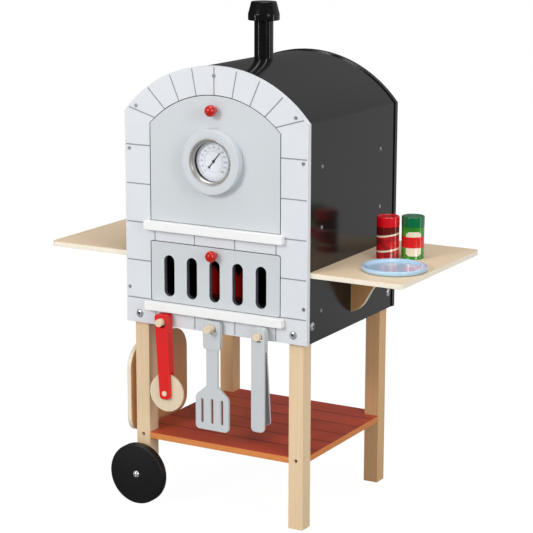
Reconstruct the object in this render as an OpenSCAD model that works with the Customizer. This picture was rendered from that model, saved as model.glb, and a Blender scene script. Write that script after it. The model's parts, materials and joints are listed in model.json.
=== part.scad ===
// Toy pizza oven on legs: arched body with two drop-down doors, a side shelf at each hand, a lower
// shelf, two wheels on the left legs and play tools hung on pegs. Millimetres.
// X runs to the right, Y to the back and Z up. The origin is on the floor under the middle of the body.

/* [Oven body] */
// Width of the front and back panels
panel_w = 380; // [370:1:390]
// Depth over the front and back panels
body_d = 356; // [340:1:380]
// Thickness of the front, back and side panels
panel_t = 10; // [9:0.5:10]
// Lower edge of the panels above the floor
panel_bottom = 350; // [347:1:351]
// Height where the straight sides end and the arch starts
spring_z = 744; // [740:1:748]
// Top of the arched panels
crown_z = 835; // [832:1:840]
// How far the panel rims stand proud of the sides and the roof
rim = 2; // [1:0.5:3]
// Thickness of the bent roof sheet
roof_t = 3; // [2:0.5:4]
// Width of the painted joints between the bricks
joint_w = 2.4; // [1.5:0.1:3]
// Depth of the joints between the bricks
joint_depth = 0.6; // [0.3:0.1:1]
// Length of a brick
brick_w = 84.5; // [80:0.5:90]
// Height of a course of bricks
course_h = 71.5; // [66:0.5:73]
// Height of the lowest level joint above the panels' lower edge
first_joint_up = 46.7; // [40:0.1:50]
// Side of the wooden rails under the roof
rail_w = 24; // [20:1:28]

/* [Floors inside] */
// Middle height of the upper oven shelf
oven_shelf_z = 664; // [640:1:690]
// Thickness of the upper oven shelf
oven_shelf_t = 9; // [8:0.5:12]
// Middle height of the oven floor
oven_floor_z = 555; // [550:1:556]
// Middle height of the firebox floor
firebox_floor_z = 403.5; // [403:0.5:405]
// Thickness of the oven floor and the firebox floor
floor_t = 12; // [9:0.5:12]
// Gap between the front panel and the floors, where the door heels swing
heel_room = 16; // [15:0.5:20]
// Width of the flame cut-out in the firebox
flame_w = 110; // [100:1:150]
// Height of the tallest flame
flame_h = 78; // [60:1:90]
// Thickness of the flame cut-out
flame_t = 6; // [4:0.5:9]
// Distance of the flame cut-out in front of the middle
flame_front = 128; // [110:1:138]

/* [Doors] */
// Gap round each door
door_gap = 1.5; // [1:0.1:2]
// Play behind each door where it meets its stop block
door_play = 0.2; // [0.1:0.1:0.5]
// Width of the upper door
upper_door_w = 269.4; // [260:0.2:272]
// Lower edge of the upper door
upper_door_bottom = 547; // [545:0.5:549]
// Height where the upper door's arch starts
upper_door_spring = 724.5; // [715:0.5:730]
// Top of the upper door's arch
upper_door_crown = 782.5; // [778:0.5:786]
// Height of the upper hinge pins above the door's lower edge
upper_pin_up = 18; // [17:0.5:19]
// Width of the lower door
lower_door_w = 270; // [264:1:272]
// Lower edge of the lower door
lower_door_bottom = 396; // [395:0.5:397]
// Upper edge of the lower door
lower_door_top = 507.5; // [500:0.5:510]
// Corner radius of the lower door
lower_door_r = 4; // [2:0.5:6]
// Height of the lower hinge pins above the door's lower edge
lower_pin_up = 15.8; // [15.5:0.1:16]
// Radius of a hinge pin
pin_r = 2; // [1.5:0.1:2.5]
// Length of a hinge pin inside the door
pin_in_door = 14; // [8:1:16]
// Length of a hinge pin inside the panel
pin_in_panel = 12; // [8:1:14]
// Number of slots in the lower door
slot_count = 5; // [3:1:5]
// Spacing of the slots
slot_pitch = 48.2; // [44:0.1:48.2]
// Width of a slot
slot_w = 22; // [16:0.5:24]
// Height of a slot over its round ends
slot_h = 77; // [60:1:77]
// Height of the middle of the slots
slot_mid = 445.5; // [445:0.5:448]
// Radius of a ball knob
knob_r = 10.7; // [9:0.1:12]
// Distance from the door face to the ball's centre
knob_out = 12.5; // [12:0.1:14]
// Radius of a knob's neck
knob_neck_r = 5.5; // [5:0.1:6]
// Height of the upper knob
upper_knob_z = 757; // [755:0.5:760]
// Height of the lower knob
lower_knob_z = 494; // [492:0.5:496]
// Width of a door stop block
stop_w = 40; // [30:1:44]
// Height of a door stop block
stop_h = 30; // [26:1:34]
// Thickness of a door stop block
stop_t = 12; // [10:0.5:12]
// How far a stop block reaches down behind its door
stop_lap = 12.5; // [10:0.5:13]
// Distance of the lower stop block from the middle
lower_stop_x = 72; // [66:1:80]
// Radius of a catch magnet
magnet_r = 5; // [3:0.5:6]
// Thickness of a catch magnet
magnet_t = 4; // [2:0.5:5]

/* [Thermometer] */
// Height of the thermometer's centre
gauge_z = 665.5; // [664:0.5:668]
// Outer radius of the painted ring
ring_r = 59; // [54:0.5:62]
// Distance the ring stands out from the door
ring_t = 15.5; // [12:0.5:18]
// Radius of the rounded outer edge of the ring
ring_edge = 3; // [1:0.5:4]
// Outer radius of the steel bezel
bezel_r = 42.5; // [40:0.5:44]
// Inner radius of the steel bezel
bezel_in_r = 35.7; // [33:0.1:37]
// Distance the bezel stands out from the ring
bezel_out = 1; // [0.5:0.5:2]
// Depth of the bezel's sloping lip
bezel_slope = 7; // [4:0.5:9]
// Thickness of the dial disc
dial_t = 2; // [1.5:0.5:3]
// Thickness of the pointer
pointer_t = 0.8; // [0.5:0.1:1]
// Radius of the pointer's pivot
pointer_pin_r = 1.5; // [1:0.1:2]
// Length of the pointer from the pivot to its tip
pointer_len = 21; // [18:0.5:26]
// Length of the pointer's tail
pointer_tail = 15.6; // [12:0.1:18]
// Lean of the pointer to the right of upright
pointer_lean = 39; // [0:1:80]

/* [Ledges] */
// Length of a ledge
ledge_w = 289.4; // [280:0.2:300]
// Height of a ledge
ledge_h = 17; // [15:0.5:18]
// Distance a ledge stands out from the panel
ledge_t = 12; // [10:0.5:14]
// Radius of a ledge's corners
ledge_r = 3; // [1:0.5:6]
// Gap between a door and the ledge under it
ledge_gap = 0.5; // [0.2:0.1:1]

/* [Legs and lower shelf] */
// Side of the square legs
leg_side = 29; // [27:0.5:30]
// Height above the floor where the left legs end, behind the wheels
short_leg_end = 25; // [15:1:40]
// Thickness of the lower shelf
low_shelf_t = 12; // [10:0.5:14]
// Top of the lower shelf
low_shelf_top = 136; // [130:1:150]
// Radius of the sunk holes in the legs
sunk_hole_r = 3.5; // [3:0.1:4]
// Depth of the sunk holes in the legs
sunk_hole_d = 8; // [5:0.5:10]

/* [Side shelves] */
// Distance from the middle of the oven to a side shelf's outer edge
shelf_reach = 368; // [350:1:380]
// Thickness of a side shelf
shelf_t = 9.5; // [9:0.5:12]
// Top of the side shelves
shelf_top = 481; // [478:1:490]
// Radius of the outer corners of a side shelf
shelf_r = 10; // [5:1:20]
// Height of a shelf bracket
bracket_h = 95; // [90:1:100]
// Height of the blunt end of a bracket
bracket_nose = 9.5; // [6:0.5:14]
// Thickness of a shelf bracket
bracket_t = 9; // [8:0.5:12]

/* [Wheels] */
// Radius of a wheel
wheel_r = 58; // [54:1:62]
// Width of a wheel
wheel_w = 17; // [14:0.5:20]
// Radius of the rounded edge of a wheel
wheel_edge = 2; // [1:0.5:3]
// Radius of an axle bolt
axle_r = 4; // [3:0.1:5]
// Running clearance between a wheel and its axle bolt
axle_clear = 0.1; // [0.05:0.05:0.3]
// Outer radius of a wheel spacer
spacer_r = 10; // [7:0.5:12]
// Gap left at each face of a wheel
wheel_gap = 0.3; // [0.2:0.1:0.5]

/* [Chimney] */
// Radius of the chimney pipe
pipe_r = 17.65; // [15:0.05:20]
// Height of the cap's lower edge
cap_bottom = 902.7; // [880:0.1:930]
// Height of the cap
cap_h = 34.3; // [28:0.1:40]
// Largest radius of the cap
cap_r = 29.2; // [26:0.1:32]
// Radius of the cap's flat top
cap_top_r = 21; // [18:0.1:24]
// Height of the upright part of the cap's skirt
cap_skirt = 12; // [8:0.5:14]
// Depth of the pipe's socket in the cap
cap_socket = 12; // [8:0.5:16]
// Radius of the dowel that joins the chimney to the roof
dowel_r = 6; // [4:0.5:8]
// Height of the chimney dowel's top
dowel_top = 862; // [850:1:880]

/* [Pegs and tools] */
// Radius of a peg
peg_r = 7.25; // [6:0.05:8]
// Distance a peg stands out
peg_out = 30; // [28:0.5:32]
// Height of the tool pegs
peg_z = 361.5; // [361:0.5:363]
// Distance between the tool pegs
peg_pitch = 103; // [98:1:106]
// Radius of the hanging hole in a tool
hang_r = 9.25; // [8.75:0.05:9.5]
// Gap between a peg and the top of a hanging hole
hang_gap = 0.2; // [0.1:0.05:0.3]
// Width of the cutter's handle at its top
cutter_top_w = 28; // [26:0.5:30]
// Width of the cutter's handle at its foot
cutter_foot_w = 22.5; // [20:0.5:24]
// Thickness of the cutter's handle
cutter_t = 18; // [14:0.5:20]
// Height of the cutter's handle above its peg
cutter_up = 14; // [12:0.5:15]
// Length of the cutter's handle below its peg
cutter_down = 146.5; // [140:0.5:150]
// Distance from the peg to the cutter wheel's pin
cutter_pin_down = 135.3; // [130:0.1:136]
// Length of the fork above the cutter wheel's pin
fork_up = 40; // [38:0.5:50]
// Radius of the cutter's wheel
cutter_wheel_r = 36; // [32:0.5:38]
// Thickness of the cutter's wheel
cutter_wheel_t = 5; // [4:0.5:6]
// Play between the cutter's wheel and its fork
fork_play = 0.5; // [0.3:0.1:1]
// Radius of the cutter wheel's pin
cutter_pin_r = 3; // [2:0.1:4]
// Lean of the hung cutter
cutter_lean = 2.7; // [0:0.1:4]
// Height of the spatula's grip above its peg
grip_up = 13.5; // [12:0.5:15]
// Length of the spatula's grip below its peg
grip_down = 40.5; // [34:0.5:44]
// Length of the spatula below its peg
spatula_down = 193.5; // [185:0.5:200]
// Height of the spatula's blade up to its shoulders
blade_h = 83.5; // [76:0.5:90]
// Half width of the spatula's grip
grip_half = 18; // [16:0.5:20]
// Thickness of the spatula's grip
grip_t = 8; // [7:0.5:9]
// Half width of the spatula's shank
shank_half = 12; // [10:0.5:14]
// Thickness of the spatula's shank and blade
blade_t = 5; // [4:0.5:6]
// Half width of the spatula's blade
blade_half = 35; // [32:0.5:36]
// Width of a slot in the spatula
blade_slot_w = 5.5; // [4:0.1:6]
// Height of a slot in the spatula
blade_slot_h = 47.5; // [40:0.5:52]
// Spacing of the slots in the spatula
blade_slot_pitch = 21; // [19:0.5:22]
// Height of the tongs above their peg
tongs_up = 15.5; // [14:0.5:17]
// Length of the tongs below their peg
tongs_down = 177.2; // [170:0.1:184]
// How much shorter the rear arm of the tongs is
tongs_short = 7.5; // [4:0.5:12]
// Distance from the peg down to the foot of the block
tongs_block_down = 28.5; // [26:0.5:32]
// Width of the tongs
tongs_w = 27; // [24:0.5:30]
// Thickness of a tongs arm
tongs_t = 4.6; // [4:0.1:5]
// Thickness of the block between the tongs arms
tongs_gap = 3.8; // [3.5:0.1:5]
// Distance from the panel to the front face of the tongs
tongs_out = 23; // [22:0.5:24]
// Angle that the rear arm of the tongs stands off at
tongs_splay = 5.9; // [5:0.1:6]
// Width of the pizza peel's blade
peel_w = 200; // [190:1:206]
// Height of the pizza peel's blade
peel_blade_h = 169; // [150:1:172]
// Thickness of the pizza peel
peel_t = 9; // [8:0.5:10]
// Width of the pizza peel's handle
peel_handle_w = 34; // [30:1:36]
// Distance from the peg down to the peel's blade
peel_handle_down = 146; // [140:1:160]
// Height of the peel's peg
peel_peg_z = 444; // [442:1:446]
// Position of the peel's peg from front to back
peel_y = -70; // [-72:1:-66]

/* [Play food and plate] */
// Distance from the shelf's outer edge in to the red tin
red_tin_in = 117; // [100:1:140]
// Distance from the middle back to the red tin
red_tin_back = 17; // [8:1:40]
// Distance from the shelf's outer edge in to the green tin
green_tin_in = 78; // [60:1:78]
// Distance from the middle back to the green tin
green_tin_back = 41; // [30:1:60]
// Distance from the middle forward to the plate
plate_front = 71; // [60:1:90]
// Gap between the plate and the shelf's outer edge
plate_edge = 2; // [1:0.5:10]
// Radius of a tin
tin_r = 21; // [18:0.5:22]
// Height of a tin
tin_h = 78; // [70:1:85]
// Height of a tin's lid
tin_lid_h = 18; // [14:0.5:22]
// Radius of the plate
plate_r = 59; // [55:0.5:62]
// Height of the plate
plate_h = 9; // [7:0.5:10]
// Thickness of the plate in its middle
plate_t = 4; // [3:0.5:5]
// Width of the plate's rim round its hollow
plate_rim = 12.5; // [9:0.5:16]

/* [Hidden] */
$fn = 96;

// Longer than any piece, for cuts that run right through
through = 1000;
// Overlap of two shapes that make one piece
lap = 1;

face_y = -body_d / 2;
inner_y = face_y + panel_t;
side_x = panel_w / 2 - rim;
side_in_x = side_x - panel_t;
arch_rise = crown_z - spring_z;
arch_r = (pow(panel_w / 2, 2) + pow(arch_rise, 2)) / (2 * arch_rise);
arch_z = crown_z - arch_r;
roof_r = arch_r - rim;
roof_in_r = roof_r - roof_t;
rail_bottom = arch_z + roof_in_r - rail_w;
floor_front = inner_y + heel_room;
floor_depth = -inner_y - floor_front;
firebox_floor_bottom = firebox_floor_z - floor_t / 2;
firebox_floor_top = firebox_floor_z + floor_t / 2;

// Spacing of the flames, and how much lower the outer ones are, as a share
flame_pitch = flame_w * 0.29;
flame_fall = 0.2;

pin_y = face_y + panel_t / 2;
door_t = panel_t - door_play;
pin_bore_r = pin_r + 0.1;
upper_pin_z = upper_door_bottom + upper_pin_up;
lower_pin_z = lower_door_bottom + lower_pin_up;
upper_rise = upper_door_crown - upper_door_spring;
upper_door_r = (pow(upper_door_w / 2, 2) + pow(upper_rise, 2)) / (2 * upper_rise);

// How far the brick joints stop short of the panel's edge
joint_inset = 2.5;
// Where each joint of the arch starts over the door and ends under the rim, as shares of half widths
arch_joints = [[0.272, 0.244], [0.54, 0.488], [0.763, 0.732], [0.921, 0.951]];

leg_x = side_in_x - leg_side / 2;
leg_y = -inner_y - leg_side / 2;
shelf_screw_z = low_shelf_top - low_shelf_t / 2;

wheel_back = -body_d / 2;
axle_head_r = 6.5;
axle_head_h = 4;
axle_len = wheel_w + wheel_gap + panel_t + leg_side - 6;

hang_drop = hang_r - peg_r - hang_gap;
bolt_r = 2.5;
bolt_len = 30;
bolt_head_r = 8;
bolt_head_h = 3;
screw_r = 1.75;
screw_len = 28;
screw_head_r = 3.6;
screw_head_h = 1.2;
knob_screw_r = 2;
knob_screw_in = 8;

// Screws through the front and back panels, as places on the right half: into the haunch rails and
// the side panels, with one in the middle into the crown rail
rail_screw = [panel_w / 2 - 25, spring_z + 10.6];
crown_screw_z = crown_z - 17;
edge_screws = [[panel_w / 2 - 9.5, spring_z - 68.3], [panel_w / 2 - 7, panel_bottom + 66.2]];
// Screws through the side panels into the floors
side_screw_ys = [inner_y + 46, -inner_y - 57.5];
side_screw_zs = [oven_shelf_z, oven_floor_z, firebox_floor_z];
// Chrome bolts through the panels into the legs
front_bolt = [leg_x - 1.5, panel_bottom + 16.8];
side_bolt_y = leg_y + 0.5;
side_bolt_z = panel_bottom + 31;

brick_white = [0.86, 0.87, 0.89];
door_grey = [0.78, 0.8, 0.82];
ledge_white = [0.93, 0.93, 0.91];
gloss_black = [0.07, 0.07, 0.08];
pale_wood = [0.87, 0.77, 0.62];
plain_board = [0.74, 0.62, 0.46];
knob_red = [0.85, 0.16, 0.1];
tool_grey = [0.72, 0.75, 0.77];
shelf_red = [0.62, 0.2, 0.13];
steel = [0.8, 0.81, 0.82];
dial_white = [0.93, 0.94, 0.96];
magnet_grey = [0.5, 0.5, 0.52];

module front_and_back() {
  children();
  mirror([0, 1, 0]) children();
}

module both_sides() {
  children();
  mirror([1, 0, 0]) children();
}

// A flat outline drawn in X and Z, made t thick from y to the back
module upright(y, t) {
  translate([0, y + t, 0]) rotate([90, 0, 0]) linear_extrude(t) children();
}

// An outline with straight sides up to the spring line and an arch from there to the crown
module arch_outline(w, bottom, spring, crown) {
  rise = crown - spring;
  r = (pow(w / 2, 2) + pow(rise, 2)) / (2 * rise);
  translate([-w / 2, bottom]) square([w, spring - bottom - lap / 2]);
  intersection() {
    translate([0, crown - r]) circle(r, $fn = 200);
    translate([-w / 2, spring - lap]) square([w, rise + 2 * lap]);
  }
}

// A rectangle from corner a to corner b with round corners
module round_rect(a, b, r) {
  translate([a[0] + r, a[1]]) square([b[0] - a[0] - 2 * r, b[1] - a[1]]);
  translate([a[0], a[1] + r]) square([b[0] - a[0], b[1] - a[1] - 2 * r]);
  for (x = [a[0] + r, b[0] - r], z = [a[1] + r, b[1] - r]) translate([x, z]) circle(r, $fn = 48);
}

// A slot with round ends, centred on x and z
module slot_outline(x, z, w, h) {
  translate([x - w / 2, z - h / 2 + w / 2]) square([w, h - w]);
  for (s = [-1, 1]) translate([x, z + s * (h - w) / 2]) circle(w / 2, $fn = 48);
}

// A screw that points down, with its head's seat at 0
module screw(r, len, head_r, head_h) {
  translate([0, 0, -len]) cylinder(r = r, h = len + lap, $fn = 32);
  difference() {
    cylinder(r1 = head_r, r2 = head_r * 0.8, h = head_h, $fn = 32);
    for (a = [0, 90]) rotate([0, 0, a])
      translate([-head_r / 2, -head_r / 10, head_h * 0.4]) cube([head_r, head_r / 5, head_h]);
  }
}

// A domed bolt that points down, with a hexagon socket in its head
module dome_bolt(r, len, head_r, head_h) {
  dome_r = (pow(head_r, 2) + pow(head_h, 2)) / (2 * head_h);
  translate([0, 0, -len]) cylinder(r = r, h = len + 0.5, $fn = 32);
  difference() {
    intersection() {
      translate([0, 0, head_h - dome_r]) sphere(dome_r);
      cylinder(r = head_r, h = head_h);
    }
    translate([0, 0, head_h * 0.45]) cylinder(r = head_r * 0.32, h = head_h, $fn = 6);
  }
}

module at_front(x, z) {
  translate([x, face_y, z]) rotate([90, 0, 0]) children();
}

module at_right(y, z) {
  translate([side_x, y, z]) rotate([0, 90, 0]) children();
}

module at_panel_screws() {
  front_and_back() {
    at_front(0, crown_screw_z) children();
    both_sides() for (p = concat([rail_screw], edge_screws)) at_front(p[0], p[1]) children();
  }
}

module at_side_screws() {
  both_sides() for (y = side_screw_ys, z = side_screw_zs) at_right(y, z) children();
}

module at_leg_bolts() {
  both_sides() front_and_back() {
    at_front(front_bolt[0], front_bolt[1]) children();
    at_right(-side_bolt_y, side_bolt_z) children();
  }
}

module shank_hole(r, len) {
  translate([0, 0, -len]) cylinder(r = r, h = len + lap, $fn = 32);
}

module panel_screw_holes() {
  at_panel_screws() shank_hole(screw_r, screw_len);
}

module side_screw_holes() {
  at_side_screws() shank_hole(screw_r, screw_len);
}

module leg_bolt_holes() {
  at_leg_bolts() shank_hole(bolt_r, bolt_len);
}

// Brick joints: level ones beside the doors, upright ones between and below them, and the arch's
module brick_joint(a, b) {
  d = b - a;
  translate([a[0], face_y - lap, a[1]]) rotate([0, -atan2(d[1], d[0]), 0])
    translate([0, 0, -joint_w / 2]) cube([norm(d), joint_depth + lap, joint_w]);
}

// Height of a point of the arch of radius r that is x from the middle
function on_arch(crown, r, x) = crown - r + sqrt(pow(r, 2) - pow(x, 2));

module brick_joints() {
  outer_r = arch_r - joint_inset;
  both_sides() {
    for (i = [0 : 4]) {
      z = panel_bottom + first_joint_up + i * course_h;
      brick_joint([upper_door_w / 2, z], [panel_w / 2 - joint_inset, z]);
    }
    for (x = [brick_w / 2, brick_w * 1.5]) {
      brick_joint([x, lower_door_top], [x, upper_door_bottom - ledge_h]);
      brick_joint([x, panel_bottom + joint_inset], [x, lower_door_bottom - ledge_h]);
    }
    for (s = arch_joints) {
      x0 = s[0] * upper_door_w / 2;
      x1 = s[1] * panel_w / 2;
      brick_joint([x0, on_arch(upper_door_crown, upper_door_r, x0)],
        [x1, on_arch(crown_z - joint_inset, outer_r, x1)]);
    }
  }
  brick_joint([0, upper_door_crown], [0, crown_z - joint_inset]);
}

module front_panel() color(brick_white) difference() {
  upright(face_y, panel_t) arch_outline(panel_w, panel_bottom, spring_z, crown_z);
  upright(face_y - lap, panel_t + 2 * lap) {
    arch_outline(upper_door_w + 2 * door_gap, upper_door_bottom - door_gap, upper_door_spring,
      upper_door_crown + door_gap);
    round_rect([-lower_door_w / 2 - door_gap, lower_door_bottom - door_gap],
      [lower_door_w / 2 + door_gap, lower_door_top + door_gap], lower_door_r + door_gap);
  }
  brick_joints();
  upper_door_pins();
  lower_door_pins();
  front_pegs();
  panel_screw_holes();
  leg_bolt_holes();
}

module back_panel() color(gloss_black) difference() {
  upright(-inner_y, panel_t) arch_outline(panel_w, panel_bottom, spring_z, crown_z);
  panel_screw_holes();
  leg_bolt_holes();
}

module side_panel() {
  translate([side_in_x, inner_y, panel_bottom])
    cube([panel_t, body_d - 2 * panel_t, spring_z - panel_bottom]);
}

module left_side_panel() color(gloss_black) difference() {
  mirror([1, 0, 0]) side_panel();
  panel_screw_holes();
  side_screw_holes();
  leg_bolt_holes();
  peel_peg();
}

module right_side_panel() color(gloss_black) difference() {
  side_panel();
  panel_screw_holes();
  side_screw_holes();
  leg_bolt_holes();
}

// Everything above the spring line within radius r of the roof's axis, between the panels
module under_roof(r) {
  intersection() {
    translate([0, -inner_y, arch_z]) rotate([90, 0, 0]) cylinder(r = r, h = -2 * inner_y, $fn = 200);
    translate([-through / 2, inner_y - lap, spring_z]) cube([through, body_d, through]);
  }
}

module roof_sheet() color(gloss_black) difference() {
  under_roof(roof_r);
  translate([0, -inner_y + lap, arch_z]) rotate([90, 0, 0])
    cylinder(r = roof_in_r, h = -2 * inner_y + 2 * lap, $fn = 200);
  chimney_dowel();
}

module roof_rail(x, z, w, h) {
  intersection() {
    translate([x, inner_y, z]) cube([w, -2 * inner_y, h]);
    translate([0, -inner_y, arch_z]) rotate([90, 0, 0])
      cylinder(r = roof_in_r, h = -2 * inner_y, $fn = 200);
  }
}

module crown_rail() color(plain_board) difference() {
  roof_rail(-rail_w / 2, rail_bottom, rail_w, 2 * rail_w);
  panel_screw_holes();
  chimney_dowel();
}

module haunch_rails() color(plain_board) difference() {
  both_sides() roof_rail(side_in_x - rail_w, spring_z - rail_w / 2, rail_w, 1.4 * rail_w);
  panel_screw_holes();
}

module inner_board(z, t) {
  difference() {
    translate([-side_in_x, floor_front, z - t / 2]) cube([2 * side_in_x, floor_depth, t]);
    side_screw_holes();
  }
}

module oven_shelf() color(plain_board) inner_board(oven_shelf_z, oven_shelf_t);

module oven_floor() color(plain_board) inner_board(oven_floor_z, floor_t);

module firebox_floor() color(gloss_black) inner_board(firebox_floor_z, floor_t);

// Three flames of unequal height on a low bar, each the overlap of two circles
module flame_board() color([0.55, 0.08, 0.05])
  translate([0, 0, firebox_floor_top]) upright(-flame_front, flame_t) {
    translate([-flame_w / 2, 0]) square([flame_w, flame_h * 0.3]);
    for (i = [-1 : 1]) {
      tall = flame_h * (1 - flame_fall * abs(i));
      bend = tall * 0.78;
      intersection() {
        translate([i * flame_pitch - bend * 0.66, tall * 0.28]) circle(bend);
        translate([i * flame_pitch + bend * 0.66, tall * 0.28]) circle(bend);
        translate([-flame_w / 2, 0]) square([flame_w, flame_h]);
      }
    }
  }

module hinge_pins(door_w, z) {
  both_sides() translate([door_w / 2 - pin_in_door, pin_y, z]) rotate([0, 90, 0])
    cylinder(r = pin_r, h = pin_in_door + door_gap + pin_in_panel, $fn = 32);
}

module hinge_bores(door_w, z) {
  both_sides() translate([door_w / 2 - pin_in_door - 0.5, pin_y, z]) rotate([0, 90, 0])
    cylinder(r = pin_bore_r, h = pin_in_door + lap, $fn = 32);
}

module upper_door_pins() color(steel) hinge_pins(upper_door_w, upper_pin_z);

module lower_door_pins() color(steel) hinge_pins(lower_door_w, lower_pin_z);

module knob_screw_hole(z) {
  translate([0, face_y - knob_screw_in, z]) rotate([-90, 0, 0])
    cylinder(r = knob_screw_r, h = panel_t + knob_screw_in + lap, $fn = 32);
}

module upper_door() color(door_grey) difference() {
  upright(face_y, door_t)
    arch_outline(upper_door_w, upper_door_bottom, upper_door_spring, upper_door_crown);
  hinge_bores(upper_door_w, upper_pin_z);
  knob_screw_hole(upper_knob_z);
  translate([0, 0, gauge_z]) pointer_pivot(pointer_pin_r + 0.1);
}

module lower_door() color(door_grey) difference() {
  upright(face_y, door_t) round_rect([-lower_door_w / 2, lower_door_bottom],
    [lower_door_w / 2, lower_door_top], lower_door_r);
  for (i = [0 : slot_count - 1]) upright(face_y - lap, panel_t + 2 * lap)
    slot_outline((i - (slot_count - 1) / 2) * slot_pitch, slot_mid, slot_w, slot_h);
  hinge_bores(lower_door_w, lower_pin_z);
  knob_screw_hole(lower_knob_z);
}

// A ball on a short neck that seats on the door face
module knob(z) {
  difference() {
    translate([0, face_y, z]) {
      translate([0, -knob_out, 0]) sphere(knob_r);
      rotate([90, 0, 0]) cylinder(r = knob_neck_r, h = knob_out, $fn = 48);
    }
    knob_screw_hole(z);
  }
}

module knob_screw(z) {
  translate([0, face_y + door_t, z]) rotate([-90, 0, 0])
    screw(knob_screw_r, door_t + knob_screw_in, 2 * knob_screw_r, 2);
}

module upper_knob() color(knob_red) knob(upper_knob_z);

module lower_knob() color(knob_red) knob(lower_knob_z);

module upper_knob_screw() color(steel) knob_screw(upper_knob_z);

module lower_knob_screw() color(steel) knob_screw(lower_knob_z);

module stop_block(x, door_top) {
  translate([x - stop_w / 2, inner_y, door_top - stop_lap]) cube([stop_w, stop_t, stop_h]);
}

module stop_magnet(x, door_top) {
  translate([x, inner_y, door_top - stop_lap + magnet_r + 1]) rotate([-90, 0, 0])
    cylinder(r = magnet_r, h = magnet_t, $fn = 48);
}

module catch_magnets() color(magnet_grey) {
  stop_magnet(0, upper_door_crown);
  stop_magnet(lower_stop_x, lower_door_top);
}

module upper_door_stop() color(plain_board) difference() {
  stop_block(0, upper_door_crown);
  catch_magnets();
}

module lower_door_stop() color(plain_board) difference() {
  stop_block(lower_stop_x, lower_door_top);
  catch_magnets();
}

// The thermometer turns round an axis that points to the front
module gauge() {
  translate([0, face_y, gauge_z]) rotate([90, 0, 0]) children();
}

module thermometer_ring() color(door_grey) gauge() difference() {
  rotate_extrude() {
    square([ring_r, ring_t - ring_edge]);
    square([ring_r - ring_edge, ring_t]);
    translate([ring_r - ring_edge, ring_t - ring_edge]) circle(ring_edge, $fn = 32);
  }
  translate([0, 0, -lap]) cylinder(r = bezel_r, h = ring_t + 2 * lap);
}

module thermometer_bezel() color(steel) gauge() rotate_extrude()
  polygon([[bezel_in_r, 0], [bezel_r, 0], [bezel_r, ring_t + bezel_out * 0.6],
    [bezel_r - 1, ring_t + bezel_out], [bezel_r - 2.5, ring_t + bezel_out - 0.6],
    [bezel_in_r, ring_t + bezel_out - bezel_slope]]);

module pointer_pivot(r) {
  translate([0, face_y - dial_t - pointer_t - 1, 0]) rotate([-90, 0, 0])
    cylinder(r = r, h = dial_t + pointer_t + 5, $fn = 32);
}

module thermometer_dial() color(dial_white) difference() {
  gauge() cylinder(r = bezel_in_r, h = dial_t);
  translate([0, 0, gauge_z]) pointer_pivot(pointer_pin_r + 0.1);
}

// A tapered hand with a round hub and a T-shaped tail
module thermometer_pointer() color([0.12, 0.12, 0.14]) translate([0, 0, gauge_z]) {
  rotate([0, pointer_lean, 0]) upright(face_y - dial_t - pointer_t - 0.3, pointer_t) {
    polygon([[-1, 0], [-0.5, pointer_len], [0.5, pointer_len], [1, 0]]);
    translate([-0.8, -pointer_tail]) square([1.6, pointer_tail]);
    translate([-2.6, -pointer_tail]) square([5.2, 1.6]);
    circle(2.6, $fn = 32);
  }
  pointer_pivot(pointer_pin_r);
}

// A bar with eased corners; its top lies just under a door
module ledge(door_bottom) {
  z = door_bottom - ledge_gap - ledge_h / 2;
  upright(face_y - ledge_t, ledge_t)
    round_rect([-ledge_w / 2, z - ledge_h / 2], [ledge_w / 2, z + ledge_h / 2], ledge_r);
}

module upper_ledge() color(ledge_white) ledge(upper_door_bottom);

module lower_ledge() color(ledge_white) ledge(lower_door_bottom);

// A leg in the front right corner, from its foot to the underside of the firebox floor
module leg(foot) {
  translate([leg_x - leg_side / 2, -leg_y - leg_side / 2, foot])
    cube([leg_side, leg_side, firebox_floor_bottom - foot]);
}

module sunk_holes() {
  both_sides() front_and_back() {
    translate([leg_x, inner_y - lap, shelf_screw_z]) rotate([-90, 0, 0])
      cylinder(r = sunk_hole_r, h = sunk_hole_d + lap, $fn = 48);
    translate([leg_x, inner_y, shelf_screw_z]) rotate([-90, 0, 0])
      cylinder(r = bolt_r, h = leg_side + lap, $fn = 32);
  }
}

module front_right_leg() color(pale_wood) difference() {
  leg(0);
  leg_bolt_holes();
  sunk_holes();
}

module rear_right_leg() color(pale_wood) difference() {
  mirror([0, 1, 0]) leg(0);
  leg_bolt_holes();
  sunk_holes();
}

module front_left_leg() color(pale_wood) difference() {
  mirror([1, 0, 0]) leg(short_leg_end);
  leg_bolt_holes();
  sunk_holes();
  axle_holes(axle_r);
}

module rear_left_leg() color(pale_wood) difference() {
  mirror([1, 0, 0]) mirror([0, 1, 0]) leg(short_leg_end);
  leg_bolt_holes();
  sunk_holes();
  axle_holes(axle_r);
}

// A board with a notch round each leg
module lower_shelf() color(shelf_red) difference() {
  translate([-side_in_x, inner_y, low_shelf_top - low_shelf_t])
    cube([2 * side_in_x, -2 * inner_y, low_shelf_t]);
  both_sides() front_and_back()
    translate([leg_x - leg_side / 2, inner_y - lap, low_shelf_top - low_shelf_t - lap])
      cube([leg_side + lap, leg_side + lap, low_shelf_t + 2 * lap]);
  shelf_screws();
}

module shelf_screws() color(steel) both_sides() front_and_back()
  translate([leg_x, inner_y + sunk_hole_d, shelf_screw_z]) rotate([90, 0, 0])
    screw(bolt_r, 45, sunk_hole_r - 0.1, 2);

shelf_d = -2 * inner_y;

module side_shelf() {
  translate([0, 0, shelf_top - shelf_t]) linear_extrude(shelf_t) {
    translate([side_x, -shelf_d / 2]) square([shelf_reach - side_x - shelf_r, shelf_d]);
    round_rect([side_x + shelf_r, -shelf_d / 2], [shelf_reach, shelf_d / 2], shelf_r);
  }
}

module left_side_shelf() color(pale_wood) mirror([1, 0, 0]) side_shelf();

module right_side_shelf() color(pale_wood) side_shelf();

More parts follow.
